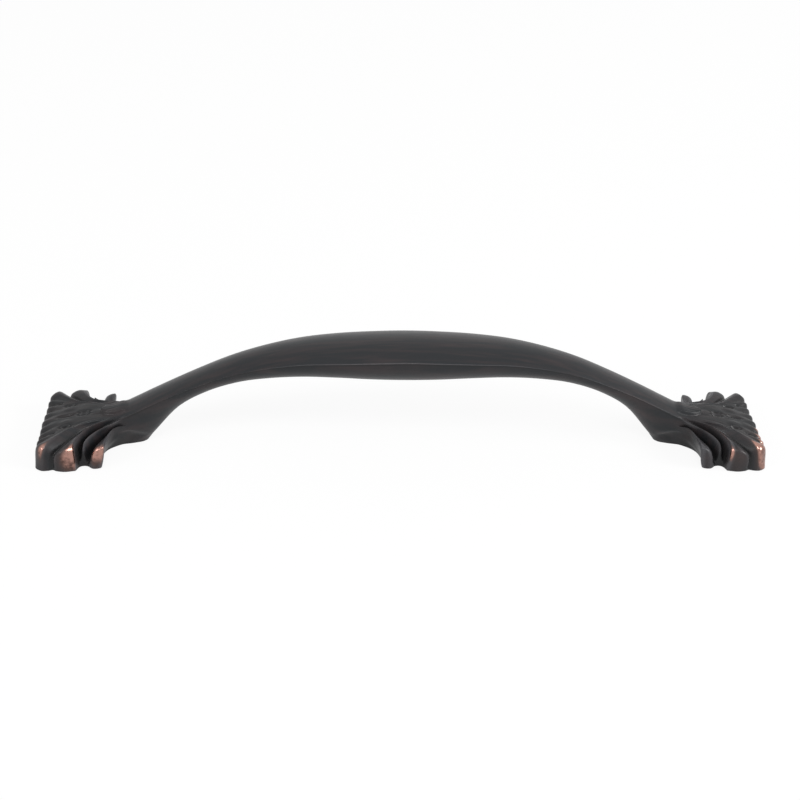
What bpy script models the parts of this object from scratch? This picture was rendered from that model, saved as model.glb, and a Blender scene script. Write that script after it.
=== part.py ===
# Arch pull for a drawer front: one casting, an arched grip whose two ends spread into acanthus leaves.
# It lies with its flat leaf undersides on Z = 0, long way along X, grip arching up in +Z.
# One quarter (+X, -Y) is lofted, mirrored twice, and the two screw holes are cut from below.

import bpy
import bmesh
import numpy as np
from mathutils import Matrix, Vector

# Driving sizes of the whole pull
HOLE_SPACING = 0.128           # between the two screw holes
GRIP_TOP = 0.0267              # highest point of the grip, at mid length
GRIP_DOME = 0.0019             # rise of the top face over its two edges, at mid length
GRIP_HALF_WIDTH = 0.0066
FINGER_HEIGHT = 0.0174         # under side of the grip at mid length

# Sizes where an arm runs into its leaf
ROOT_INSET = 0.0038            # root lies this far inside the hole centre
ROOT_EDGE_HEIGHT = 0.0088
ROOT_DOME = 0.0010
ROOT_HALF_WIDTH = 0.0034
ROOT_BELLY_INSET = 0.0050      # the belly lags the top by this much, so the section leans
ROOT_BELLY_HEIGHT = 0.0025

# Sizes of a leaf, from the hole centre
LEAF_REACH = 0.0165            # to the tip of the middle tooth
LEAF_HALF_WIDTH = 0.0122       # to the front of lobe 2
LEAF_HEIGHT = 0.0078           # of the flow lines where the leaf begins

# Tongue: the grip's top face runs out over the leaf and stops in a blunt round end
TONGUE_REACH = 0.0026          # past the hole centre
TONGUE_HALF_WIDTH = 0.0020
TONGUE_STEP = 0.0007
TONGUE_BLUNTNESS = 3           # 2 is an ellipse, more is a squarer end
TONGUE_RISE = 3                # it stands at full height this many times sooner than it ends

# Carving on the leaf's top: pits, and a pad that stands proud (from the hole centre, sideways, half length,
# half width, depth)
CARVING = (
    ("eye", 0.0064, 0.0007, 0.0012, 0.0005, 0.0007),
    ("slot", 0.0100, 0.0003, 0.0018, 0.0005, 0.0006),
    ("pad", 0.0099, 0.0027, 0.0015, 0.0009, -0.0003),
    ("crescent", 0.0097, 0.0041, 0.0011, 0.0005, 0.0007),
)
CARVING_BLUNTNESS = 3          # 2 is a soft bowl, more is a flatter floor with steeper sides
CARVING_LOW = 0.0025           # the carving fades in between these heights, so it stays off the walls
CARVING_HIGH = 0.0040

# Screw holes, blind and tapped, drilled to a cone
HOLE_RADIUS = 0.0017
HOLE_DEPTH = 0.0055
HOLE_TIP = 0.0010
HOLE_SIDES = 24
CUT_START = 0.0010             # the cutter begins this far below the underside

# Mesh steps
ARM_ROWS = 13
LEAF_ROWS = 15
STEPS_PER_LINE = 2
MERGE = 0.00001

# How each arm size runs from mid length (0) to the root (1), at nine equal stations
ARM_RAILS = {
    "drop": (0, .012, .034, .074, .165, .305, .508, .743, 1),
    "dome": (0, .04, .13, .26, .44, .67, .95, 1.05, 1),
    "width": (0, .01, .096, .30, .52, .73, .876, .969, 1),
    "belly": (0, -.013, -.042, -.050, -.021, .051, .217, .515, 1),
    "lag": (0, .04, .09, .16, .28, .44, .57, .70, 1),
}

# Flow lines of the leaf, in mm from the hole centre, drawn on a leaf of the size above. Each line starts on
# the arm's section at its place (0 top middle, 1 top edge, 2 belly middle), runs over three guide points to
# its edge, where the leaf's wall begins, and ends on the rim. A line with no guides runs straight to the rim.
# name, sharp crest, place, first guide, second guide, third guide, edge, rim
FLOW_LINES = (
    ("rib", 0, 0.00, (3.0, 0.0, 7.7), (8.5, 0.0, 6.9), (14.1, 0.0, 5.3), (15.8, 0.0, 4.3), (16.5, 0.0)),
    ("gap_1", 1, 0.08, (3.0, 0.6, 7.7), (8.5, 0.8, 6.8), (13.7, 1.2, 5.3), (15.2, 1.3, 3.5), (15.8, 1.3)),
    ("tooth_1", 0, 0.16, (3.0, 1.1, 7.6), (8.4, 1.6, 6.8), (14.0, 2.4, 5.3), (15.7, 2.6, 4.3), (16.4, 2.6)),
    ("gap_2", 1, 0.24, (3.0, 1.6, 7.6), (8.4, 2.3, 6.7), (13.6, 3.6, 5.2), (15.1, 3.9, 3.4), (15.8, 3.9)),
    ("tooth_2", 0, 0.32, (3.0, 2.0, 7.6), (8.3, 3.0, 6.7), (13.9, 4.8, 5.3), (15.6, 5.2, 4.4), (16.3, 5.2)),
    ("gap_3", 1, 0.39, (3.0, 2.3, 7.6), (8.2, 3.6, 6.7), (13.4, 5.8, 5.3), (14.9, 6.2, 3.7), (15.6, 6.3)),
    ("tooth_3", 0, 0.45, (3.0, 2.6, 7.6), (8.1, 4.0, 6.7), (13.8, 6.8, 5.4), (15.6, 7.3, 4.7), (16.1, 7.5)),
    ("gap_4", 1, 0.50, (3.0, 2.8, 7.6), (8.1, 4.2, 6.7), (13.3, 7.5, 5.5), (14.9, 8.2, 4.3), (15.6, 8.5)),
    ("corner", 0, 0.55, (3.1, 3.1, 7.6), (8.0, 4.4, 6.8), (13.2, 8.3, 5.7), (15.5, 9.2, 5.0), (15.9, 10.5)),
    ("lobe_1", 0, 0.61, (4.0, 3.7, 7.4), (8.3, 4.9, 6.9), (12.3, 8.7, 6.1), (14.0, 11.0, 5.4), (14.6, 11.7)),
    ("face_1", 0, 0.67, (3.6, 3.7, 7.1), (7.4, 5.2, 6.2), (11.0, 9.1, 5.1), (12.8, 11.2, 4.4), (13.0, 11.7)),
    ("groove", 0, 0.73, (3.2, 3.8, 6.9), (6.9, 5.6, 5.7), (10.2, 9.3, 4.4), (11.8, 11.0, 3.3), (12.0, 11.4)),
    ("face_2", 0, 0.78, (2.9, 3.9, 7.0), (6.5, 5.8, 6.0), (9.8, 9.8, 5.2), (11.2, 11.7, 4.1), (11.1, 11.8)),
    ("lobe_2", 0, 0.83, (2.7, 4.0, 7.2), (6.0, 6.0, 6.4), (8.8, 9.8, 5.9), (9.3, 11.9, 5.0), (9.3, 12.1)),
    ("edge_2", 1, 0.88, (2.5, 4.2, 7.7), (5.4, 6.0, 6.9), (7.4, 9.6, 6.3), (7.1, 11.8, 4.7), (7.1, 11.7)),
    ("hollow_2", 0, 0.94, (1.9, 4.0, 6.2), (4.3, 5.8, 4.0), (5.9, 8.2, 2.3), (6.4, 10.0, 1.4), (6.4, 10.3)),
    ("rib_2", 0, 1.00, (-0.6, 4.3, 7.5), (2.9, 5.5, 6.4), (5.1, 8.0, 5.6), (5.4, 9.5, 4.4), (5.6, 10.0)),
    ("hollow_3", 0, 1.07, (-0.9, 3.6, 5.8), (1.6, 4.9, 3.6), (3.6, 7.4, 1.9), (4.6, 9.7, 1.2), (4.7, 10.1)),
    ("face_3", 0, 1.13, (-1.2, 3.7, 5.6), (0.9, 4.9, 4.6), (2.4, 8.0, 4.6), (3.1, 10.6, 4.5), (3.4, 11.0)),
    ("lobe_3", 0, 1.18, (-1.3, 4.1, 6.5), (0.2, 5.0, 5.6), (0.9, 8.0, 5.4), (0.9, 10.6, 5.4), (1.9, 10.7)),
    ("cusp", 0, 1.27, (-1.9, 3.5, 5.0), (-0.2, 4.0, 3.6), (1.1, 6.2, 2.4), (1.8, 8.0, 1.4), (2.3, 7.9)),
    ("flank_1", 0, 1.40, (-3.4, 2.9, 4.6), (-1.5, 3.1, 3.0), (0.2, 3.7, 1.5), (1.4, 4.7, 0.6), (1.5, 4.7)),
    ("flank_2", 0, 1.55, (-5.2, 2.0, 3.2), (-3.6, 2.1, 2.0), (-2.2, 2.2, 1.0), (-1.2, 2.4, 0.3), (-1.2, 2.4)),
    ("flank_3", 0, 1.72, None, None, None, None, (-3.9, 1.62)),
    ("nose", 0, 1.88, None, None, None, None, (-6.2, 0.9)),
    ("belly", 0, 2.00, None, None, None, None, (-7.05, 0.0)),
)
STRAIGHT_GUIDES = (0.35, 0.58, 0.78, 0.92)   # where a straight line's guides and edge lie, from arm to rim
START_PULL = 0.15              # length of the start tangent, as a share of the way to the rim
WALL_SHARE = 0.3               # height of the wall's guide, as a share of the edge's
FOLLOW = 1 / 6                 # guides and edge are pushed out, so that the spline runs close to them
TANGENT_STEP = 0.015           # arm share over which the start tangent is measured
BELLY_PLACE = 2.0

ROOT_X = HOLE_SPACING / 2 - ROOT_INSET
DRAWN_REACH = max(line[7][0] for line in FLOW_LINES)
DRAWN_HALF_WIDTH = max(line[7][1] for line in FLOW_LINES)
DRAWN_HEIGHT = max(line[3][2] for line in FLOW_LINES if line[3])
LEAF_SIZE = np.array((LEAF_REACH, LEAF_HALF_WIDTH, LEAF_HEIGHT))
LEAF_SCALE = LEAF_SIZE / (DRAWN_REACH, DRAWN_HALF_WIDTH, DRAWN_HEIGHT)


def rail(along, name, middle, root):
    # Catmull-Rom curve through the rail's stations, level at mid length
    share = np.array(ARM_RAILS[name], float)
    padded = np.concatenate(([share[1]], share, [2 * share[-1] - share[-2]]))
    if name == "lag":
        padded[0] = -share[1]
    position = along * (len(share) - 1)
    i = np.minimum(position.astype(int), len(share) - 2)
    t = position - i
    a, b, c, d = (padded[i + k] for k in range(4))
    square = 2 * a - 5 * b + 4 * c - d
    cube = 3 * b - a - 3 * c + d
    return middle + (root - middle) * 0.5 * (2 * b + (c - a) * t + square * t ** 2 + cube * t ** 3)


def arm(along, place):
    # Half section of the arm: a parabola over the top face, then a quarter ellipse down to the belly
    edge = rail(along, "drop", GRIP_TOP - GRIP_DOME, ROOT_EDGE_HEIGHT)
    dome = rail(along, "dome", GRIP_DOME, ROOT_DOME)
    width = rail(along, "width", GRIP_HALF_WIDTH, ROOT_HALF_WIDTH)
    belly = rail(along, "belly", FINGER_HEIGHT, ROOT_BELLY_HEIGHT)
    lag = rail(along, "lag", 0, ROOT_BELLY_INSET)
    across_top = np.clip(place, 0, 1)
    angle = np.clip(place - 1, 0, 1) * np.pi / 2
    down = np.sin(angle)
    x = ROOT_X * along - lag * down
    y = np.where(place <= 1, width * across_top, width * np.cos(angle))
    z = np.where(place <= 1, edge + dome * (1 - across_top ** 2), edge + (belly - edge) * down)
    return np.stack((x, y, z), -1)


def across(points, sharp, at, place):
    # Cubic curve through one guide's points, in order of place; a sharp line breaks its tangent
    mirror = np.array((1, -1, 1))
    padded = np.vstack((points[1] * mirror, points, points[-2] * mirror))
    padded_at = np.concatenate(([-at[1]], at, [2 * BELLY_PLACE - at[-2]]))
    step = (padded_at[1:] - padded_at[:-1])[:, None]
    slope = (padded[1:] - padded[:-1]) / step
    before, after = slope[:-1], slope[1:]
    smooth = (before * step[1:] + after * step[:-1]) / (step[1:] + step[:-1])
    arriving = smooth + (before - smooth) * sharp[:, None]
    leaving = smooth + (after - smooth) * sharp[:, None]
    i = np.clip(np.searchsorted(at, place, side="right") - 1, 0, len(at) - 2)
    width = (at[i + 1] - at[i])[:, None]
    t = (place - at[i])[:, None] / width
    return ((2 * t ** 3 - 3 * t ** 2 + 1) * points[i] + (t ** 3 - 2 * t ** 2 + t) * width * leaving[i]
            + (3 * t ** 2 - 2 * t ** 3) * points[i + 1] + (t ** 3 - t ** 2) * width * arriving[i + 1])


def spline_weights(s, count, degree=3):
    # Clamped B-spline weights by the Cox-de Boor recursion: one row for each s, one column a guide
    knots = np.concatenate((np.zeros(degree), np.linspace(0, 1, count - degree + 1), np.ones(degree)))
    s = np.minimum(s, 1 - 1e-12)
    weights = [((s >= low) & (s < high)).astype(float) for low, high in zip(knots[:-1], knots[1:])]
    for d in range(1, degree + 1):
        raised = []
        for j in range(len(knots) - 1 - d):
            rise, fall = knots[j + d] - knots[j], knots[j + d + 1] - knots[j + 1]
            part = (s - knots[j]) / rise * weights[j] if rise > 0 else 0 * s
            part = part + ((knots[j + d + 1] - s) / fall * weights[j + 1] if fall > 0 else 0)
            raised.append(part)
        weights = raised
    return np.stack(weights, 1)


def ease(t):
    t = np.clip(t, 0, 1)
    return t * t * (3 - 2 * t)


def carve(points):
    # The tongue stands proud of the leaf and the pits are sunk in it; both fade out on the way to the rim
    x, y, z = points[..., 0] - HOLE_SPACING / 2, points[..., 1], points[..., 2]
    run = (x + ROOT_INSET) / (TONGUE_REACH + ROOT_INSET)
    outline = TONGUE_HALF_WIDTH * np.sqrt(1 - np.clip(run, 0, 1) ** TONGUE_BLUNTNESS)
    inside = ease((outline - y) / (2 * TONGUE_STEP) + 0.5) * (run < 1)
    change = TONGUE_STEP * inside * ease(run * TONGUE_RISE)
    for _, ahead, aside, half_length, half_width, depth in CARVING:
        away = np.hypot((x - ahead) / half_length, (y - aside) / half_width)
        change = change - depth * np.exp(-away ** CARVING_BLUNTNESS)
    points[..., 2] += change * ease((z - CARVING_LOW) / (CARVING_HIGH - CARVING_LOW))
    return points


def leaf_guides():
    # The guide points of every flow line, in metres: first, second, third, edge, wall and rim
    at = np.array([line[2] for line in FLOW_LINES])
    start = arm(np.ones(len(at)), at)
    hole = np.array((HOLE_SPACING / 2, 0, 0))
    guides = [[], [], [], [], [], []]
    for k, (_, _, _, first, second, third, edge, rim) in enumerate(FLOW_LINES):
        foot = hole + np.array((*rim, 0)) * LEAF_SCALE
        if first is None:
            points = [start[k] + (foot - start[k]) * share for share in STRAIGHT_GUIDES]
        else:
            points = [hole + np.array(p) * LEAF_SCALE for p in (first, second, third, edge)]
        wall = (points[-1] + foot) / 2
        wall[2] = points[-1][2] * WALL_SHARE
        for guide, point in zip(guides, points + [wall, foot]):
            guide.append(point)
    return at, [np.array(guide) for guide in guides]


def quarter_grid():
    # Rows run from mid length out to the rim, columns from the top middle down to the belly
    at, guides = leaf_guides()
    sharp = np.array([line[1] for line in FLOW_LINES], float)
    steps = [np.linspace(low, high, STEPS_PER_LINE, endpoint=False) for low, high in zip(at[:-1], at[1:])]
    place = np.concatenate(steps + [[BELLY_PLACE]])
    along = np.linspace(0, 1, ARM_ROWS)[:, None]
    arm_rows = arm(along + 0 * place, place + 0 * along)
    end = arm_rows[-1]
    back = arm(np.full_like(place, 1 - TANGENT_STEP), place)
    curves = [across(guide, sharp, at, place) for guide in guides]
    reach = np.linalg.norm(curves[-1] - end, axis=1, keepdims=True)
    ahead = (end - back) / np.linalg.norm(end - back, axis=1, keepdims=True)
    controls = np.stack([end, end + ahead * reach * START_PULL] + curves)
    controls[2:6] += FOLLOW * (2 * controls[2:6] - controls[1:5] - controls[3:7])
    weights = spline_weights(np.linspace(0, 1, LEAF_ROWS + 1)[1:], len(controls))
    leaf_rows = carve(np.einsum("sg,gcd->scd", weights, controls))
    leaf_rows[-1] = controls[-1]
    return np.concatenate((arm_rows, leaf_rows))


def casting_quarter():
    # Mesh of the quarter, open at X = 0 and Y = 0, with its share of the flat underside
    grid = quarter_grid() * np.array((1, -1, 1))
    grid[0, :, 0] = 0
    grid[:, 0, 1] = 0
    grid[:, -1, 1] = 0
    mesh = bpy.data.meshes.new("arch_pull")
    bm = bmesh.new()
    rows = [[bm.verts.new(point) for point in row] for row in grid]
    for inner, outer in zip(rows[:-1], rows[1:]):
        for k in range(len(inner) - 1):
            bm.faces.new((inner[k], inner[k + 1], outer[k + 1], outer[k]))
    bm.faces.new(rows[-1])
    bmesh.ops.triangulate(bm, faces=bm.faces)
    bm.to_mesh(mesh)
    bm.free()
    return mesh


def add_object(name, mesh, collection):
    obj = bpy.data.objects.new(name, mesh)
    collection.objects.link(obj)
    return obj


def hole_cutters(collection):
    # Both drill shapes in one cutter: a straight bore whose closed end is raised to the drill's cone
    mesh = bpy.data.meshes.new("screw_hole_cutter")
    bm = bmesh.new()
    for side in (-1, 1):
        middle = Vector((side * HOLE_SPACING / 2, 0, (HOLE_DEPTH - CUT_START) / 2))
        bore = bmesh.ops.create_cone(bm, cap_ends=True, segments=HOLE_SIDES, radius1=HOLE_RADIUS,
                                     radius2=HOLE_RADIUS, depth=HOLE_DEPTH + CUT_START,
                                     matrix=Matrix.Translation(middle))
        caps = {face for vert in bore["verts"] for face in vert.link_faces if len(face.verts) == HOLE_SIDES}
        top = max(caps, key=lambda face: face.calc_center_median().z)
        poked = bmesh.ops.poke(bm, faces=[top])
        poked["verts"][0].co.z += HOLE_TIP
    bm.to_mesh(mesh)
    bm.free()
    cutter = add_object("screw_hole_cutter", mesh, collection)
    cutter.hide_render = True
    cutter.display_type = "WIRE"
    return cutter


def bronze():
    material = bpy.data.materials.new("rubbed_bronze")
    material.use_nodes = True
    shader = material.node_tree.nodes["Principled BSDF"]
    shader.inputs["Base Color"].default_value = (0.045, 0.038, 0.038, 1)
    shader.inputs["Metallic"].default_value = 0.6
    shader.inputs["Roughness"].default_value = 0.4
    return material


def main():
    for obj in list(bpy.data.objects):
        bpy.data.objects.remove(obj, do_unlink=True)
    scene_root = bpy.context.scene.collection
    parts = bpy.data.collections.new("arch_pull")
    cutters = bpy.data.collections.new("cutters")
    scene_root.children.link(parts)
    scene_root.children.link(cutters)

    pull = add_object("arch_pull", casting_quarter(), parts)
    pull.data.materials.append(bronze())
    mirror = pull.modifiers.new("four_quarters", "MIRROR")
    mirror.use_axis = (True, True, False)
    mirror.use_clip = True
    mirror.merge_threshold = MERGE
    cut = pull.modifiers.new("screw_holes", "BOOLEAN")
    cut.operation = "DIFFERENCE"
    cut.solver = "EXACT"
    cut.object = hole_cutters(cutters)
    pull.data.shade_smooth()


main()
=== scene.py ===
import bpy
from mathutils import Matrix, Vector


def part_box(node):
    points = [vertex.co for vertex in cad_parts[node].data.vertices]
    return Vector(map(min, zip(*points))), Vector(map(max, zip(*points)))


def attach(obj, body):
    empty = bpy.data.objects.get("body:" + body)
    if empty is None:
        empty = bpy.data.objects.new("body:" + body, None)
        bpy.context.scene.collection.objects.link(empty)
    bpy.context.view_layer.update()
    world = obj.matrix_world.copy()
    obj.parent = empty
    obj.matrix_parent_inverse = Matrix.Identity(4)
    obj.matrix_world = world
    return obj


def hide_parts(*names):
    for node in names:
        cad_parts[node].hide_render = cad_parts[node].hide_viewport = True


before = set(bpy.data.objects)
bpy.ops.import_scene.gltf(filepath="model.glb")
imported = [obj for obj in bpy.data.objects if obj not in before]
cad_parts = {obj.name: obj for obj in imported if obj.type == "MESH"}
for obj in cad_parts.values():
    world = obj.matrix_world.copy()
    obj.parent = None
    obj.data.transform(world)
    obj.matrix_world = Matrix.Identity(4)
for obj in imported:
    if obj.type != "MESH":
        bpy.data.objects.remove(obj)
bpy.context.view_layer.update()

import math

import bmesh
import bpy
import numpy as np
from mathutils import Matrix, Vector
from mathutils.geometry import tessellate_polygon

mm = 0.001
lowCorner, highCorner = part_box("arch_pull")
leafReach = 16.5 * mm            # from a screw hole to the tip of the middle tooth

# The arched grip: sizes at mid length and at the root of the leaf, and how each runs between the two
grip = {
    "holeSpacing": round(2 * (highCorner.x - leafReach), 6),
    "top": round(highCorner.z - lowCorner.z, 6),
    "dome": 1.9 * mm,
    "halfWidth": 6.6 * mm,
    "fingerHeight": 17.4 * mm,
    "rootInset": 3.8 * mm,
    "rootEdge": 8.8 * mm,
    "rootDome": 1.0 * mm,
    "rootHalfWidth": 3.4 * mm,
    "rootBellyInset": 5.0 * mm,
    "rootBelly": 2.5 * mm,
    "edgeRound": (0.02, 0.012),  # the crease is rounded from this far above it to this far below, in places
    "rails": {                   # shares from mid length (0) to root (1) at nine equal stations
        "drop": (0, .012, .034, .074, .165, .305, .508, .743, 1),
        "dome": (0, .04, .13, .26, .44, .67, .95, 1.05, 1),
        "width": (0, .01, .096, .30, .52, .73, .876, .969, 1),
        "belly": (0, -.013, -.042, -.050, -.021, .051, .217, .515, 1),
        "lag": (0, .04, .09, .16, .28, .44, .57, .70, 1),
    },
    "rows": 40,
}


def rail(along, name, middle, root):
    # Catmull-Rom curve through the shares at the stations: level at mid length, straight on at the root
    share = np.array(grip["rails"][name], float)
    before = -share[1] if name == "lag" else share[1]
    padded = np.concatenate(([before], share, [2 * share[-1] - share[-2]]))
    position = along * (len(share) - 1)
    i = np.minimum(position.astype(int), len(share) - 2)
    t = position - i
    a, b, c, d = (padded[i + k] for k in range(4))
    square = 2 * a - 5 * b + 4 * c - d
    cube = 3 * b - a - 3 * c + d
    return middle + (root - middle) * 0.5 * (2 * b + (c - a) * t + square * t ** 2 + cube * t ** 3)


def section(along, place):
    # Half section of the arm, creased at place 1: y = w * place and z = edge + dome * (1 - place^2)
    # over the top, then y = w * cos(angle) and z = edge + (belly - edge) * sin(angle) down to the belly
    edge = rail(along, "drop", grip["top"] - grip["dome"], grip["rootEdge"])
    dome = rail(along, "dome", grip["dome"], grip["rootDome"])
    width = rail(along, "width", grip["halfWidth"], grip["rootHalfWidth"])
    belly = rail(along, "belly", grip["fingerHeight"], grip["rootBelly"])
    lag = rail(along, "lag", 0, grip["rootBellyInset"])
    over = np.clip(place, 0, 1)
    angle = np.clip(place - 1, 0, 1) * np.pi / 2
    down = np.sin(angle)
    x = (grip["holeSpacing"] / 2 - grip["rootInset"]) * along - lag * down
    y = np.where(place <= 1, width * over, width * np.cos(angle))
    z = np.where(place <= 1, edge + dome * (1 - over ** 2), edge + (belly - edge) * down)
    return np.stack((x, y, z), -1)


def armSurface(along, place):
    # The section with its crease rounded by a Bezier curve a(1-t)^2 + 2ct(1-t) + bt^2 past the crease c
    above, below = grip["edgeRound"]
    level = 0 * place
    a, c, b = (section(along, level + at) for at in (1 - above, 1, 1 + below))
    t = np.clip((place - 1 + above) / (above + below), 0, 1)[..., None]
    curve = a * (1 - t) ** 2 + 2 * c * t * (1 - t) + b * t ** 2
    near = (place > 1 - above) & (place < 1 + below)
    return np.where(near[..., None], curve, section(along, place))


# The leaf's flow lines, in mm from the screw hole. Each leaves the arm at its place (0 top middle, 1 top
# edge, 2 belly middle), runs over three guides to its edge, where the leaf's wall begins, and ends on
# the rim
# name: sharp crest, place, first guide, second guide, third guide, edge, rim
flowLines = {
    "rib": (0, 0.00, (3.0, 0.0, 7.7), (8.5, 0.0, 6.9), (14.1, 0.0, 5.3), (15.8, 0.0, 4.3), (16.5, 0.0)),
    "gap1": (1, 0.08, (3.0, 0.6, 7.7), (8.5, 0.8, 6.8), (13.7, 1.2, 5.3), (15.2, 1.3, 3.5), (15.8, 1.3)),
    "tooth1": (0, 0.16, (3.0, 1.1, 7.6), (8.4, 1.6, 6.8), (14.0, 2.4, 5.3), (15.7, 2.6, 4.3), (16.4, 2.6)),
    "gap2": (1, 0.24, (3.0, 1.6, 7.6), (8.4, 2.3, 6.7), (13.6, 3.6, 5.2), (15.1, 3.9, 3.4), (15.8, 3.9)),
    "tooth2": (0, 0.32, (3.0, 2.0, 7.6), (8.3, 3.0, 6.7), (13.9, 4.8, 5.3), (15.6, 5.2, 4.4), (16.3, 5.2)),
    "gap3": (1, 0.39, (3.0, 2.3, 7.6), (8.2, 3.6, 6.7), (13.4, 5.8, 5.3), (14.9, 6.2, 3.7), (15.6, 6.3)),
    "tooth3": (0, 0.45, (3.0, 2.6, 7.6), (8.1, 4.0, 6.7), (13.8, 6.8, 5.4), (15.6, 7.3, 4.7), (16.1, 7.5)),
    "gap4": (1, 0.50, (3.0, 2.8, 7.6), (8.1, 4.2, 6.7), (13.3, 7.5, 5.5), (14.9, 8.2, 4.3), (15.6, 8.5)),
    "corner": (0, 0.55, (3.1, 3.1, 7.6), (8.0, 4.4, 6.8), (13.2, 8.3, 5.7), (15.5, 9.2, 5.0), (15.9, 10.5)),
    "lobe1": (0, 0.61, (4.0, 3.7, 7.4), (8.3, 4.9, 6.9), (12.3, 8.7, 6.1), (14.0, 11.0, 5.4), (14.6, 11.7)),
    "face1": (0, 0.67, (3.6, 3.7, 7.1), (7.4, 5.2, 6.2), (11.0, 9.1, 5.1), (12.8, 11.2, 4.4), (13.0, 11.7)),
    "groove": (0, 0.73, (3.2, 3.8, 6.9), (6.9, 5.6, 5.7), (10.2, 9.3, 4.4), (11.8, 11.0, 3.3), (12.0, 11.4)),
    "face2": (0, 0.78, (2.9, 3.9, 7.0), (6.5, 5.8, 6.0), (9.8, 9.8, 5.2), (11.2, 11.7, 4.1), (11.1, 11.8)),
    "lobe2": (0, 0.83, (2.7, 4.0, 7.2), (6.0, 6.0, 6.4), (8.8, 9.8, 5.9), (9.3, 11.9, 5.0), (9.3, 12.1)),
    "edge2": (1, 0.88, (2.5, 4.2, 7.7), (5.4, 6.0, 6.9), (7.4, 9.6, 6.3), (7.1, 11.8, 4.7), (7.1, 11.7)),
    "hollow2": (0, 0.94, (1.9, 4.0, 6.2), (4.3, 5.8, 4.0), (5.9, 8.2, 2.3), (6.4, 10.0, 1.4), (6.4, 10.3)),
    "rib2": (0, 1.00, (-0.6, 4.3, 7.5), (2.9, 5.5, 6.4), (5.1, 8.0, 5.6), (5.4, 9.5, 4.4), (5.6, 10.0)),
    "hollow3": (0, 1.07, (-0.9, 3.6, 5.8), (1.6, 4.9, 3.6), (3.6, 7.4, 1.9), (4.6, 9.7, 1.2), (4.7, 10.1)),
    "face3": (0, 1.13, (-1.2, 3.7, 5.6), (0.9, 4.9, 4.6), (2.4, 8.0, 4.6), (3.1, 10.6, 4.5), (3.4, 11.0)),
    "lobe3": (0, 1.18, (-1.3, 4.1, 6.5), (0.2, 5.0, 5.6), (0.9, 8.0, 5.4), (0.9, 10.6, 5.4), (1.9, 10.7)),
    "cusp": (0, 1.27, (-1.9, 3.5, 5.0), (-0.2, 4.0, 3.6), (1.1, 6.2, 2.4), (1.8, 8.0, 1.4), (2.3, 7.9)),
    "flank1": (0, 1.40, (-3.4, 2.9, 4.6), (-1.5, 3.1, 3.0), (0.2, 3.7, 1.5), (1.4, 4.7, 0.6), (1.5, 4.7)),
    "flank2": (0, 1.55, (-5.2, 2.0, 3.2), (-3.6, 2.1, 2.0), (-2.2, 2.2, 1.0), (-1.2, 2.4, 0.3), (-1.2, 2.4)),
    "flank3": (0, 1.72, None, None, None, None, (-3.9, 1.62)),
    "nose": (0, 1.88, None, None, None, None, (-6.2, 0.9)),
    "belly": (0, 2.00, None, None, None, None, (-7.05, 0.0)),
}

leaf = {
    "straightGuides": (0.35, 0.58, 0.78, 0.92),   # where a line without guides has them, from arm to rim
    "startPull": 0.15,           # length of the start tangent, as a share of the way to the rim
    "wallShare": 0.3,            # height of the wall's guide, as a share of the edge's
    "follow": 1 / 6,             # guides and edge are pushed out, so that the spline runs close to them
    "tangentStep": 0.015,
    "rimRound": 0.3 * mm,
    "stepsPerLine": 6,
    "rows": 105,
}


def acrossLines(points, sharp, at, place):
    # Cubic Hermite curve through one guide's points in order of place; a sharp line breaks its tangent
    mirror = np.array((1, -1, 1))
    padded = np.vstack((points[1] * mirror, points, points[-2] * mirror))
    paddedAt = np.concatenate(([-at[1]], at, [2 * at[-1] - at[-2]]))
    step = (paddedAt[1:] - paddedAt[:-1])[:, None]
    slope = (padded[1:] - padded[:-1]) / step
    before, after = slope[:-1], slope[1:]
    smooth = (before * step[1:] + after * step[:-1]) / (step[1:] + step[:-1])
    arriving = smooth + (before - smooth) * sharp[:, None]
    leaving = smooth + (after - smooth) * sharp[:, None]
    i = np.clip(np.searchsorted(at, place, side="right") - 1, 0, len(at) - 2)
    width = (at[i + 1] - at[i])[:, None]
    t = (place - at[i])[:, None] / width
    return ((2 * t ** 3 - 3 * t ** 2 + 1) * points[i] + (t ** 3 - 2 * t ** 2 + t) * width * leaving[i]
            + (3 * t ** 2 - 2 * t ** 3) * points[i + 1] + (t ** 3 - t ** 2) * width * arriving[i + 1])


def splineWeights(s, count, degree=3):
    # Clamped B-spline weights by the Cox-de Boor recursion: one row for each s, one column for each guide.
    # The last s moves just inside the last knot, where the weights are defined
    knots = np.concatenate((np.zeros(degree), np.linspace(0, 1, count - degree + 1), np.ones(degree)))
    s = np.minimum(s, 1 - 1e-12)
    weights = [((s >= low) & (s < high)).astype(float) for low, high in zip(knots[:-1], knots[1:])]
    for d in range(1, degree + 1):
        raised = []
        for j in range(len(knots) - 1 - d):
            rise, fall = knots[j + d] - knots[j], knots[j + d + 1] - knots[j + 1]
            part = (s - knots[j]) / rise * weights[j] if rise > 0 else 0 * s
            raised.append(part + ((knots[j + d + 1] - s) / fall * weights[j + 1] if fall > 0 else 0))
        weights = raised
    return np.stack(weights, 1)


def leafGuides():
    # Guide points of every flow line in metres: first, second, third, edge, wall and rim
    at = np.array([line[1] for line in flowLines.values()])
    start = armSurface(np.ones(len(at)), at)
    hole = np.array((grip["holeSpacing"] / 2, 0, 0))
    guides = [[], [], [], [], [], []]
    for k, (_, _, first, second, third, edge, rim) in enumerate(flowLines.values()):
        foot = hole + np.array((*rim, 0)) * mm
        if first is None:
            points = [start[k] + (foot - start[k]) * share for share in leaf["straightGuides"]]
        else:
            points = [hole + np.array(p) * mm for p in (first, second, third, edge)]
        wall = (points[-1] + foot) / 2
        wall[2] = points[-1][2] * leaf["wallShare"]
        for guide, point in zip(guides, points + [wall, foot]):
            guide.append(point)
    return at, [np.array(guide) for guide in guides]


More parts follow.
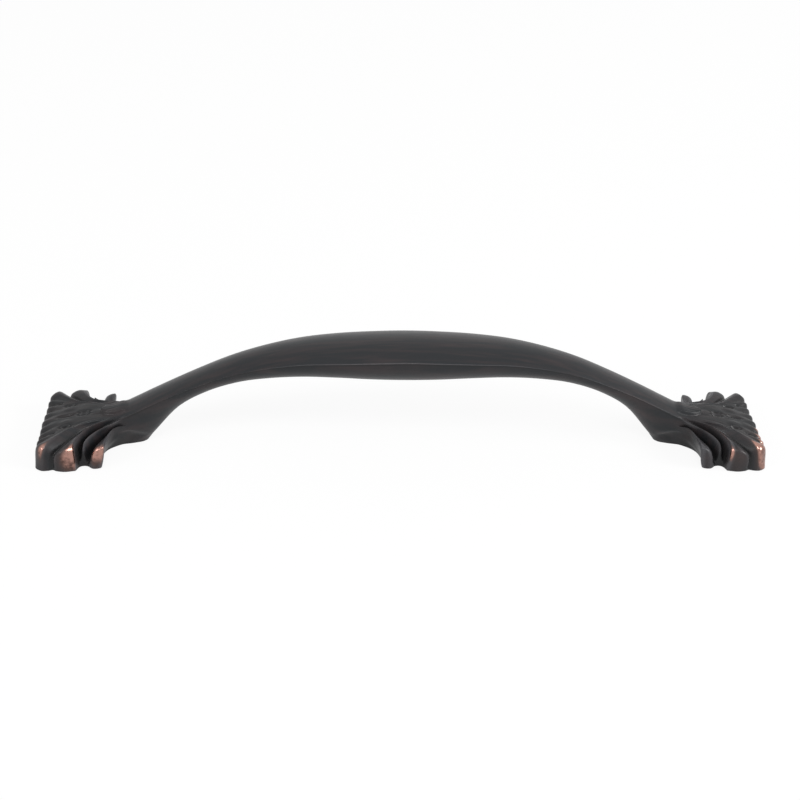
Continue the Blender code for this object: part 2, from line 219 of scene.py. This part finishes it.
def quarterGrid():
    # Rows run from mid length out to the rim, columns from the top middle down to the belly. An arm row is
    # the section at its share of the way. A leaf column is a B-spline over guides read across the flow lines
    at, guides = leafGuides()
    sharp = np.array([line[0] for line in flowLines.values()], float)
    count = leaf["stepsPerLine"]
    steps = [np.linspace(low, high, count, endpoint=False) for low, high in zip(at[:-1], at[1:])]
    place = np.concatenate(steps + [at[-1:]])
    along = np.linspace(0, 1, grip["rows"])[:, None]
    armRows = armSurface(along + 0 * place, place + 0 * along)
    end = armRows[-1]
    back = armSurface(np.full_like(place, 1 - leaf["tangentStep"]), place)
    curves = [acrossLines(guide, sharp, at, place) for guide in guides]
    reach = np.linalg.norm(curves[-1] - end, axis=1, keepdims=True)
    ahead = (end - back) / np.linalg.norm(end - back, axis=1, keepdims=True)
    controls = np.stack([end, end + ahead * reach * leaf["startPull"]] + curves)
    controls[2:6] += leaf["follow"] * (2 * controls[2:6] - controls[1:5] - controls[3:7])
    run = np.linspace(0, 1, leaf["rows"] + 1)[1:]
    leafRows = carve(np.einsum("sg,gcd->scd", splineWeights(run, len(controls)), controls))
    leafRows[-1] = controls[-1]
    grid = roundRim(np.concatenate((armRows, leafRows)))
    grid[0, :, 0] = 0
    grid[:, 0, 1] = 0
    grid[:, -1, 1] = 0
    return grid, place, np.concatenate((np.zeros(grip["rows"]), run))


def roundRim(grid):
    # The wall's foot turns in over a quarter circle: inwards by r - sqrt(r^2 - (r - z)^2) below the height r
    r = leaf["rimRound"]
    tangent = np.gradient(grid[-1, :, :2], axis=0)
    inward = np.stack((-tangent[:, 1], tangent[:, 0]), -1)
    inward /= np.linalg.norm(inward, axis=1, keepdims=True)
    inward[0] = (-1, 0)
    inward[-1] = (1, 0)
    low = np.clip(r - grid[grip["rows"]:, :, 2:], 0, r)
    grid[grip["rows"]:, :, :2] += (r - np.sqrt(r ** 2 - low ** 2)) * inward
    return grid


# Carving on the leaf's top: the tongue in which the grip's top face ends, pits and low pads
carving = {
    "tongueReach": 2.6 * mm,
    "tongueHalfWidth": 2.0 * mm,
    "tongueStep": 0.7 * mm,
    "tongueSide": 0.5 * mm,      # width of its sloping side
    "tongueBluntness": 3,
    "tongueRise": 3,             # it stands at full height this many times sooner than it ends
    # each mark: distance from the hole, sideways, half length, half width, depth; a pad has a negative depth
    "marks": {
        "plateau": (5.9 * mm, 2.4 * mm, 2.2 * mm, 1.6 * mm, -0.20 * mm),
        "eye": (6.3 * mm, 0.5 * mm, 1.3 * mm, 0.40 * mm, 0.55 * mm),
        "slot": (10.2 * mm, 0.1 * mm, 1.9 * mm, 0.40 * mm, 0.55 * mm),
        "pad": (9.9 * mm, 2.6 * mm, 1.5 * mm, 0.90 * mm, -0.25 * mm),
        "crescent": (9.9 * mm, 4.0 * mm, 1.2 * mm, 0.40 * mm, 0.65 * mm),
        "speck": (12.4 * mm, 5.6 * mm, 0.5 * mm, 0.30 * mm, 0.40 * mm),
    },
    "markBluntness": 3,          # 2 is a soft bowl, more is a flatter floor with steeper sides
    "low": 2.5 * mm,             # the carving fades in between these heights, so it stays off the walls
    "high": 4.0 * mm,
}


def ease(t):
    # Smooth step from 0 to 1: t^2 (3 - 2t)
    t = np.clip(t, 0, 1)
    return t * t * (3 - 2 * t)


def carve(points):
    # The tongue is raised by a smooth step inside its outline; a mark sinks by depth * exp(-away^bluntness)
    x, y, z = points[..., 0] - grip["holeSpacing"] / 2, points[..., 1], points[..., 2]
    run = (x + grip["rootInset"]) / (carving["tongueReach"] + grip["rootInset"])
    outline = carving["tongueHalfWidth"] * np.sqrt(1 - np.clip(run, 0, 1) ** carving["tongueBluntness"])
    inside = ease((outline - y) / carving["tongueSide"] + 0.5) * (run < 1)
    change = carving["tongueStep"] * inside * ease(run * carving["tongueRise"])
    for ahead, aside, halfLength, halfWidth, depth in carving["marks"].values():
        away = np.hypot((x - ahead) / halfLength, (y - aside) / halfWidth)
        change = change - depth * np.exp(-away ** carving["markBluntness"])
    points[..., 2] += change * ease((z - carving["low"]) / (carving["high"] - carving["low"]))
    return points


# Where handling has rubbed the bronze through to copper: end (-1 left, 1 right, 0 both), side (-1 front,
# 1 rear, 0 both), place and its spread, share of the way from arm to rim and its spread, strength
rubs = {
    "leftLobe3": (-1, -1, 1.15, 0.040, 0.82, 0.13, 1.15),
    "leftLobe2": (-1, -1, 0.85, 0.045, 0.85, 0.16, 1.1),
    "leftLobe2Crest": (-1, -1, 0.87, 0.020, 0.72, 0.08, 0.7),
    "leftLobe1": (-1, -1, 0.60, 0.027, 0.77, 0.14, 1.0),
    "leftCorner": (-1, 1, 0.58, 0.050, 0.78, 0.08, 0.6),
    "rightLobe2": (1, -1, 0.83, 0.060, 0.84, 0.14, 0.35),
    "rightLobe2Crest": (1, -1, 0.875, 0.012, 0.76, 0.09, 0.8),
    "rightLobe1": (1, -1, 0.575, 0.060, 0.82, 0.16, 2.2),
    "rightLobe1Crest": (1, -1, 0.605, 0.018, 0.68, 0.09, 0.8),
    "rightTooth3": (1, -1, 0.45, 0.035, 0.76, 0.14, 1.6),
    "rightTooth2": (1, -1, 0.32, 0.035, 0.76, 0.14, 1.6),
    "rightTooth1": (1, -1, 0.16, 0.035, 0.76, 0.12, 1.3),
    "rib2Line": (0, -1, 0.995, 0.010, 0.46, 0.24, 0.50),
    "edge2Line": (0, -1, 0.88, 0.010, 0.42, 0.24, 0.45),
    "leftTeeth": (-1, 1, 0.32, 0.040, 0.78, 0.07, 0.5),
    "leftFrontTeeth": (-1, -1, 0.32, 0.040, 0.78, 0.07, 0.45),
}


def rubbed(place, run, end, side):
    # Sum of soft patches exp(-((place - p) / dp)^2 - ((run - r) / dr)^2)
    worn = np.zeros((len(run), len(place)))
    for ofEnd, ofSide, p, dp, r, dr, strength in rubs.values():
        if end * ofEnd >= 0 and side * ofSide >= 0:
            worn += strength * np.exp(-((place[None] - p) / dp) ** 2 - ((run[:, None] - r) / dr) ** 2)
    return worn


# Painted shade: a dark line just under the grip's crease, and darkening over the carving on the leaf's top
paintedShade = {
    "crease": 1.025,             # place of the line under the crease
    "creaseSpread": 0.012,
    "creaseReach": 0.08,         # how far it goes on into the leaf, as a share of the way to the rim
    "creaseStrength": 1.0,
    "topPlace": 0.60,            # place where the wax on the leaf's top ends
    "topFade": 0.10,
    "topRun": 0.30,              # share of the way to the rim where it is full
    "topStrength": 0.65,
}


def paintedShadeOfPlace(place, run):
    # Painted shade. Under the crease exp(-((place - p) / dp)^2 - (run / dr)^2), which is full along the
    # whole arm, where the run is 0; on the leaf's top a smooth step in along the run, and one out across the
    # places
    place, run = place[None], run[:, None]
    away = ((place - paintedShade["crease"]) / paintedShade["creaseSpread"]) ** 2 + (run / paintedShade["creaseReach"]) ** 2
    top = ease(run / paintedShade["topRun"]) * ease((paintedShade["topPlace"] - place) / paintedShade["topFade"])
    return np.maximum(paintedShade["creaseStrength"] * np.exp(-away), paintedShade["topStrength"] * top)


# Painted highlight: a light grey line along the middle of the grip's crease
paintedHighlight = {
    "place": 0.993,
    "spread": 0.010,
    "reach": 36 * mm,            # from mid length to where it ends
    "fade": 14 * mm,
    "strength": 1.0,
}


def paintedHighlightOfPlace(place, x):
    # Painted highlight: exp(-((place - p) / dp)^2) across the crease, and a smooth step out along x
    away = ((place - paintedHighlight["place"]) / paintedHighlight["spread"]) ** 2
    return paintedHighlight["strength"] * np.exp(-away) * ease((paintedHighlight["reach"] - x) / paintedHighlight["fade"])


def wholeRing(front, rear):
    # Front half from top to belly, then the rear half back up to the top: one closed ring a row
    return np.concatenate((front, rear[:, -2:0:-1]), 1)


def tubeGrid():
    # The casting as one tube of rings from the left rim over the grip to the right rim, and for each point
    # how far it is worn, and how much painted shade and painted highlight it takes
    grid, place, run = quarterGrid()
    right = wholeRing(grid * (1, -1, 1), grid)
    left = right * (-1, 1, 1)
    wornLeft, wornRight = (
        wholeRing(*(rubbed(place, run, end, side) for side in (-1, 1))) for end in (-1, 1))
    dark = paintedShadeOfPlace(place, run)
    dark = wholeRing(dark, dark)
    creaseHighlight = paintedHighlightOfPlace(place, grid[..., 0])
    creaseHighlight = wholeRing(creaseHighlight, creaseHighlight)
    pairs = ((left, right), (wornLeft, wornRight), (dark, dark), (creaseHighlight, creaseHighlight))
    return [np.concatenate((ofLeft[:0:-1], ofRight)) for ofLeft, ofRight in pairs]


def relief(grid, reach):
    # How far a point stands out of the middle of its two neighbours across the flow lines, along its normal:
    # positive on a crest, negative in a hollow. The tiny term keeps a normal of no length from dividing by 0
    before, after = np.roll(grid, reach, 1), np.roll(grid, -reach, 1)
    normal = np.cross(after - before, np.gradient(grid, axis=0))
    normal /= np.linalg.norm(normal, axis=-1, keepdims=True) + 1e-12
    return ((grid - (before + after) / 2) * normal).sum(-1)


# The tapped holes in the underside
screwHole = {
    "minorRadius": 1.7 * mm,
    "threadDepth": 0.32 * mm,
    "pitch": 0.7 * mm,
    "depth": 5.5 * mm,
    "tip": 1.0 * mm,
    "chamfer": 0.4 * mm,
    "sides": 48,
    "rows": 84,
}


def threadGrid(end):
    # Hole wall as r(turn, z): minor radius plus a V thread that winds up with the turn.
    # A chamfer opens the mouth
    turn = np.arange(screwHole["sides"]) * 2 * np.pi / screwHole["sides"]
    z = np.linspace(0, screwHole["depth"], screwHole["rows"])[:, None]
    wave = np.abs(2 * ((z / screwHole["pitch"] - turn / (2 * np.pi)) % 1) - 1)
    fade = ease(z / screwHole["pitch"]) * ease((screwHole["depth"] - z) / screwHole["pitch"])
    radius = screwHole["minorRadius"] + screwHole["threadDepth"] * wave * fade
    radius = np.maximum(radius, screwHole["minorRadius"] + (screwHole["chamfer"] - z).clip(0))
    wall = np.stack((radius * np.cos(turn), radius * np.sin(turn), z + 0 * turn), -1)
    return wall + np.array((end * grip["holeSpacing"] / 2, 0, 0))


def ringFaces(rows, columns, first):
    # Quads between neighbouring rings, as indices into the joined vertex list
    near = first + np.arange(rows - 1)[:, None] * columns + np.arange(columns)
    turned = near - np.arange(columns) + (np.arange(columns) + 1) % columns
    return np.stack((near, turned, turned + columns, near + columns), -1).reshape(-1, 4)


pullMesh = {"name": "castPull", "sharpAngle": 50}   # edges bent by more degrees than this stay sharp


def makePull():
    # The tube, and at each end its flat underside around the tapped hole, which ends in a drill tip
    tube, worn, dark, creaseHighlight = tubeGrid()
    rows, columns = worn.shape
    sides, wallRows = screwHole["sides"], screwHole["rows"]
    points = [tube.reshape(-1, 3)]
    faces = ringFaces(rows, columns, 0).tolist()
    count = rows * columns
    for end in (-1, 1):
        wall = threadGrid(end)
        tip = np.array(((end * grip["holeSpacing"] / 2, 0, screwHole["depth"] + screwHole["tip"]),))
        rimFirst = 0 if end < 0 else (rows - 1) * columns
        rim = tube[0 if end < 0 else -1]
        flat = np.array(tessellate_polygon([[Vector(p) for p in rim], [Vector(p) for p in wall[0]]]))
        faces += np.where(flat < columns, flat + rimFirst, flat - columns + count).tolist()
        faces += ringFaces(wallRows, sides, count).tolist()
        last = count + (wallRows - 1) * sides + np.arange(sides)
        peak = np.full(sides, count + wallRows * sides)
        faces += np.stack((last, np.roll(last, -1), peak), -1).tolist()
        points += [wall.reshape(-1, 3), tip]
        count += wallRows * sides + 1
    mesh = bpy.data.meshes.new(pullMesh["name"])
    mesh.from_pydata(np.concatenate(points), [], faces)
    addAttributes(mesh, tube, worn, dark, creaseHighlight)
    bm = bmesh.new()
    bm.from_mesh(mesh)
    bmesh.ops.recalc_face_normals(bm, faces=bm.faces)
    bm.to_mesh(mesh)
    bm.free()
    mesh.shade_smooth()
    mesh.set_sharp_from_angle(angle=math.radians(pullMesh["sharpAngle"]))
    obj = bpy.data.objects.new(pullMesh["name"], mesh)
    bpy.context.scene.collection.objects.link(obj)
    return obj


# How the surface's shape is read for its colour
shapeReading = {
    "fineReach": 3,              # columns to the neighbours that a crest or a pit is measured from
    "crestFloor": 0.09 * mm,     # lower crests don't count
    "crestHeight": 0.28 * mm,    # this far above the floor a crest counts fully
    "pitDepth": 0.18 * mm,       # a pit this deep counts fully
    "broadReach": 9,             # columns to the neighbours that a hollow is measured from
    "hollowDepth": 1.00 * mm,    # a hollow this deep counts fully
}


def addAttributes(mesh, tube, worn, dark, creaseHighlight):
    # One value a vertex for the material; the screw holes stay at 0
    fine = relief(tube, shapeReading["fineReach"])
    broad = relief(tube, shapeReading["broadReach"])
    # crest also holds the painted highlight along the grip's crease
    crest = np.maximum(creaseHighlight, (fine - shapeReading["crestFloor"]) / shapeReading["crestHeight"])
    pit = -fine / shapeReading["pitDepth"]
    # hollow is painted shade: in broad hollows and small pits over their dark patina, and under the crease
    # and on the leaf's top
    hollow = np.maximum.reduce((-broad / shapeReading["hollowDepth"], pit, dark))
    for name, values in (("worn", worn), ("crest", crest), ("hollow", hollow)):
        padded = np.zeros(len(mesh.vertices), np.float32)
        padded[:values.size] = np.clip(values, 0, 1).ravel()
        mesh.attributes.new(name, "FLOAT", "POINT").data.foreach_set("value", padded)


class Wire:
    # A node's output with arithmetic: each operator adds a Math node
    def __init__(self, tree, socket):
        self.tree, self.socket = tree, socket

    def output(self, name):
        return Wire(self.tree, self.socket.node.outputs[name])

    def math(self, operation, other=None, clamp=False):
        values = {0: self} if other is None else {0: self, 1: other}
        return self.tree.node("ShaderNodeMath", {"operation": operation, "use_clamp": clamp}, values)

    def __add__(self, other):
        return self.math("ADD", other)

    def __mul__(self, other):
        return self.math("MULTIPLY", other)

    def __sub__(self, other):
        return self.math("SUBTRACT", other)

    def __rsub__(self, other):
        return self.tree.node("ShaderNodeMath", {"operation": "SUBTRACT"}, {0: other, 1: self})

    __radd__ = __add__
    __rmul__ = __mul__

    def clamped(self):
        return self.math("MULTIPLY", 1.0, clamp=True)


class Tree:
    # One material's or world's nodes
    def __init__(self, owner):
        owner.use_nodes = True
        self.nodes, self.links = owner.node_tree.nodes, owner.node_tree.links

    def node(self, kind, settings=None, values=None, output=0):
        made = self.nodes.new(kind)
        for name, value in (settings or {}).items():
            setattr(made, name, value)
        self.plug(made, values or {})
        return Wire(self, made.outputs[output])

    def plug(self, node, values):
        for key, value in values.items():
            if isinstance(value, Wire):
                self.links.new(value.socket, node.inputs[key])
            else:
                node.inputs[key].default_value = value

    def mixColour(self, factor, first, second):
        # Inputs 6 and 7 and output 2 are the Mix node's colours
        values = {"Factor": factor, 6: first, 7: second}
        return self.node("ShaderNodeMix", {"data_type": "RGBA"}, values, output=2)

    def noise(self, scale, place, detail):
        return self.node("ShaderNodeTexNoise", {}, {"Vector": place, "Scale": scale, "Detail": detail})

    def attribute(self, name):
        return self.node("ShaderNodeAttribute", {"attribute_name": name}, output="Fac")

    def shader(self, values):
        self.plug(self.nodes["Principled BSDF"], values)


# Oil rubbed bronze: dark and satin, browner in streaks, greyer on crests from wear and a painted highlight,
# near black in hollows from dark patina and painted shade, copper where it is worn through
bronze = {
    "dark": (0.0165, 0.0178, 0.0200, 1),
    "brown": (0.035, 0.027, 0.028, 1),
    "warmBrown": (0.055, 0.038, 0.035, 1),
    # light grey: wear on crests, and the painted highlight along the grip's crease
    "wornGreyAndHighlight": (0.080, 0.078, 0.084, 1),
    # near black: painted shade over the dark patina of hollows and pits, and under the crease and on the
    # leaf's top
    "patinaAndShade": (0.011, 0.011, 0.011, 1),
    "copper": (0.40, 0.225, 0.185, 1),
    "tarnish": (0.095, 0.058, 0.050, 1),
    "roughness": 0.36,
    "copperRoughness": 0.27,
    "specular": 0.22,
    # noise scales, in cycles per metre
    "streakScale": (70.0, 1000.0, 300.0),
    "cloudScale": 260.0,
    "speckScale": 1500.0,
    "grainScale": 1100.0,
    "lumpScale": 180.0,
    "streakDetail": 4.0,         # octaves of the streaks, and of the other noises
    "detail": 3.0,
    "grainHeight": 0.008 * mm,
    "lumpHeight": 0.05 * mm,
    # where the metal shows: sharpness * (worn - start + shares of clouds, specks and crests)
    "wear": {"sharpness": 2.2, "start": 0.45, "cloud": 0.9, "speck": 0.6, "crest": 0.2},
    # how much of it is tarnished: base + shares of clouds and specks, less on worn spots and crests
    "dull": {"base": 1.6, "cloud": 2.5, "speck": 2.0, "worn": 1.3, "crest": 0.6},
    # shares of the other colours in the dark patina; the hollow share is painted shade over dark patina
    "patina": {"streak": 3.0, "streakStart": 0.42, "worn": 1.4, "crest": 0.65, "hollow": 0.65},
    "roughnessSpread": 0.10,
}


def makeBronze():
    material = bpy.data.materials.new("rubbedBronze")
    tree = Tree(material)
    place = tree.node("ShaderNodeTexCoord", output="Object")
    worn, crest, hollow = (tree.attribute(name) for name in ("worn", "crest", "hollow"))
    streakSpace = tree.node("ShaderNodeMapping", {}, {"Vector": place, "Scale": bronze["streakScale"]})
    streaks = tree.noise(1.0, streakSpace, bronze["streakDetail"])
    cloud, speck, grain, lumps = (
        tree.noise(bronze[name + "Scale"], place, bronze["detail"])
        for name in ("cloud", "speck", "grain", "lump"))
    wear, dull, share = bronze["wear"], bronze["dull"], bronze["patina"]
    uneven = wear["cloud"] * (cloud - 0.5) + wear["speck"] * (speck - 0.5)
    bare = (wear["sharpness"] * (worn - wear["start"] + uneven + wear["crest"] * crest)).clamped()
    spotted = dull["cloud"] * (cloud - 0.5) + dull["speck"] * (speck - 0.5)
    tarnish = (spotted + dull["base"] - dull["worn"] * worn - dull["crest"] * crest).clamped()
    streaked = (share["streak"] * (streaks - share["streakStart"])).clamped()
    patina = tree.mixColour(streaked, bronze["dark"], bronze["brown"])
    patina = tree.mixColour((share["worn"] * worn).clamped(), patina, bronze["warmBrown"])
    # lighter grey on crests: wear, and a painted highlight along the grip's crease
    patina = tree.mixColour((share["crest"] * crest).clamped(), patina, bronze["wornGreyAndHighlight"])
    # near black in hollows, pits, under the crease and on the leaf's top: painted shade over dark patina
    patina = tree.mixColour((share["hollow"] * hollow).clamped(), patina, bronze["patinaAndShade"])
    metal = tree.mixColour(tarnish, bronze["copper"], bronze["tarnish"])
    normal = tree.node("ShaderNodeBump", {}, {"Distance": bronze["grainHeight"], "Height": grain})
    normal = tree.node("ShaderNodeBump", {}, {
        "Distance": bronze["lumpHeight"], "Height": lumps, "Normal": normal,
    })
    gloss = bronze["copperRoughness"] - bronze["roughness"]
    tree.shader({
        "Base Color": tree.mixColour(bare, patina, metal),
        "Roughness": bronze["roughness"] + bronze["roughnessSpread"] * (cloud - 0.5) + bare * gloss,
        "Metallic": bare,
        "Specular IOR Level": bronze["specular"],
        "Normal": normal,
    })
    return material


# Studio: pale floor and soft lamps
studio = {
    "floorSize": 3.0,
    "floorColour": (0.9, 0.9, 0.9, 1),
    "floorGlow": 0.9,            # share of plain white in the floor as the camera sees it, over its shading
    "floorInGloss": 0.63,        # the same share in reflections
    "floorRoughness": 0.9,
    "worldStrength": 0.56,       # as it lights the object; the camera and reflections see plain white
    "lamps": (
        # name, position, size, power
        ("top", (0.0, 0.5, 0.9), 1.0, 0.4),
        ("front", (0.0, -0.45, 0.75), 0.2, 2.2),
        ("right", (0.8, -0.2, 0.42), 0.3, 4.5),
        ("left", (-0.7, -0.4, 0.5), 0.2, 1.5),
    ),
}


def makeWorld():
    world = bpy.data.worlds.new("softWhite")
    bpy.context.scene.world = world
    tree = Tree(world)
    seen = tree.node("ShaderNodeLightPath", output="Is Camera Ray")
    direct = seen + seen.output("Is Glossy Ray") + seen.output("Is Transmission Ray")
    share = direct.math("MINIMUM", 1.0)
    tree.plug(tree.nodes["Background"], {
        "Color": (1, 1, 1, 1),
        "Strength": share * (1 - studio["worldStrength"]) + studio["worldStrength"],
    })


def makeFloorMaterial():
    # Shaded white, mixed with plain white for the camera and for reflections, so it still takes a shadow
    material = bpy.data.materials.new("paleFloor")
    tree = Tree(material)
    seen = tree.node("ShaderNodeLightPath", output="Is Camera Ray")
    white = seen * studio["floorGlow"] + seen.output("Is Glossy Ray") * studio["floorInGloss"]
    tree.shader({
        "Base Color": studio["floorColour"],
        "Roughness": studio["floorRoughness"],
        "Specular IOR Level": 0.0,
    })
    glow = tree.node("ShaderNodeEmission", {}, {"Color": (1, 1, 1, 1), "Strength": 1.0})
    plain = Wire(tree, tree.nodes["Principled BSDF"].outputs["BSDF"])
    shown = tree.node("ShaderNodeMixShader", {}, {0: white, 1: plain, 2: glow})
    tree.links.new(shown.socket, tree.nodes["Material Output"].inputs["Surface"])
    return material


def makeFloor():
    mesh = bpy.data.meshes.new("floor")
    half = studio["floorSize"] / 2
    corners = [(-half, -half, 0), (half, -half, 0), (half, half, 0), (-half, half, 0)]
    mesh.from_pydata(corners, [], [(0, 1, 2, 3)])
    mesh.materials.append(makeFloorMaterial())
    floor = bpy.data.objects.new("floor", mesh)
    bpy.context.scene.collection.objects.link(floor)


def makeLamps():
    for name, position, size, power in studio["lamps"]:
        lamp = bpy.data.lights.new(name, "AREA")
        lamp.size, lamp.energy = size, power
        holder = bpy.data.objects.new(name, lamp)
        holder.location = position
        holder.rotation_euler = (-Vector(position)).to_track_quat("-Z", "Y").to_euler()
        bpy.context.scene.collection.objects.link(holder)


# The photograph's viewpoint: angles in degrees, lens and sensor in the camera's own millimetres
photo = {
    "elevation": 35.1, "azimuth": -3.6, "roll": 2.2,
    "distance": 297.5 * mm, "target": (-1.05 * mm, 0, 10.83 * mm),
    "lens": 60.75, "sensor": 36, "clipStart": 10 * mm,
}


def makeCamera():
    # Right, up and back axes from azimuth, elevation and roll
    e, a, r = (math.radians(photo[name]) for name in ("elevation", "azimuth", "roll"))
    back = Vector((math.sin(a) * math.cos(e), -math.cos(a) * math.cos(e), math.sin(e)))
    level = Vector((math.cos(a), math.sin(a), 0))
    upright = back.cross(level)
    right = level * math.cos(r) + upright * math.sin(r)
    up = upright * math.cos(r) - level * math.sin(r)
    lens = bpy.data.cameras.new("camera")
    lens.lens, lens.sensor_width, lens.clip_start = photo["lens"], photo["sensor"], photo["clipStart"]
    camera = bpy.data.objects.new("camera", lens)
    turned = Matrix((right, up, back)).transposed().to_4x4()
    turned.translation = Vector(photo["target"]) + back * photo["distance"]
    camera.matrix_world = turned
    bpy.context.scene.collection.objects.link(camera)
    bpy.context.scene.camera = camera


makeCamera()
print("camera placed")
pull = makePull()
pull.data.materials.append(makeBronze())
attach(pull, "root")
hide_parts("arch_pull")
print("pull:", len(pull.data.vertices), "vertices")
makeWorld()
makeFloor()
makeLamps()
bpy.context.scene.view_settings.view_transform = "Standard"
print("studio lit")
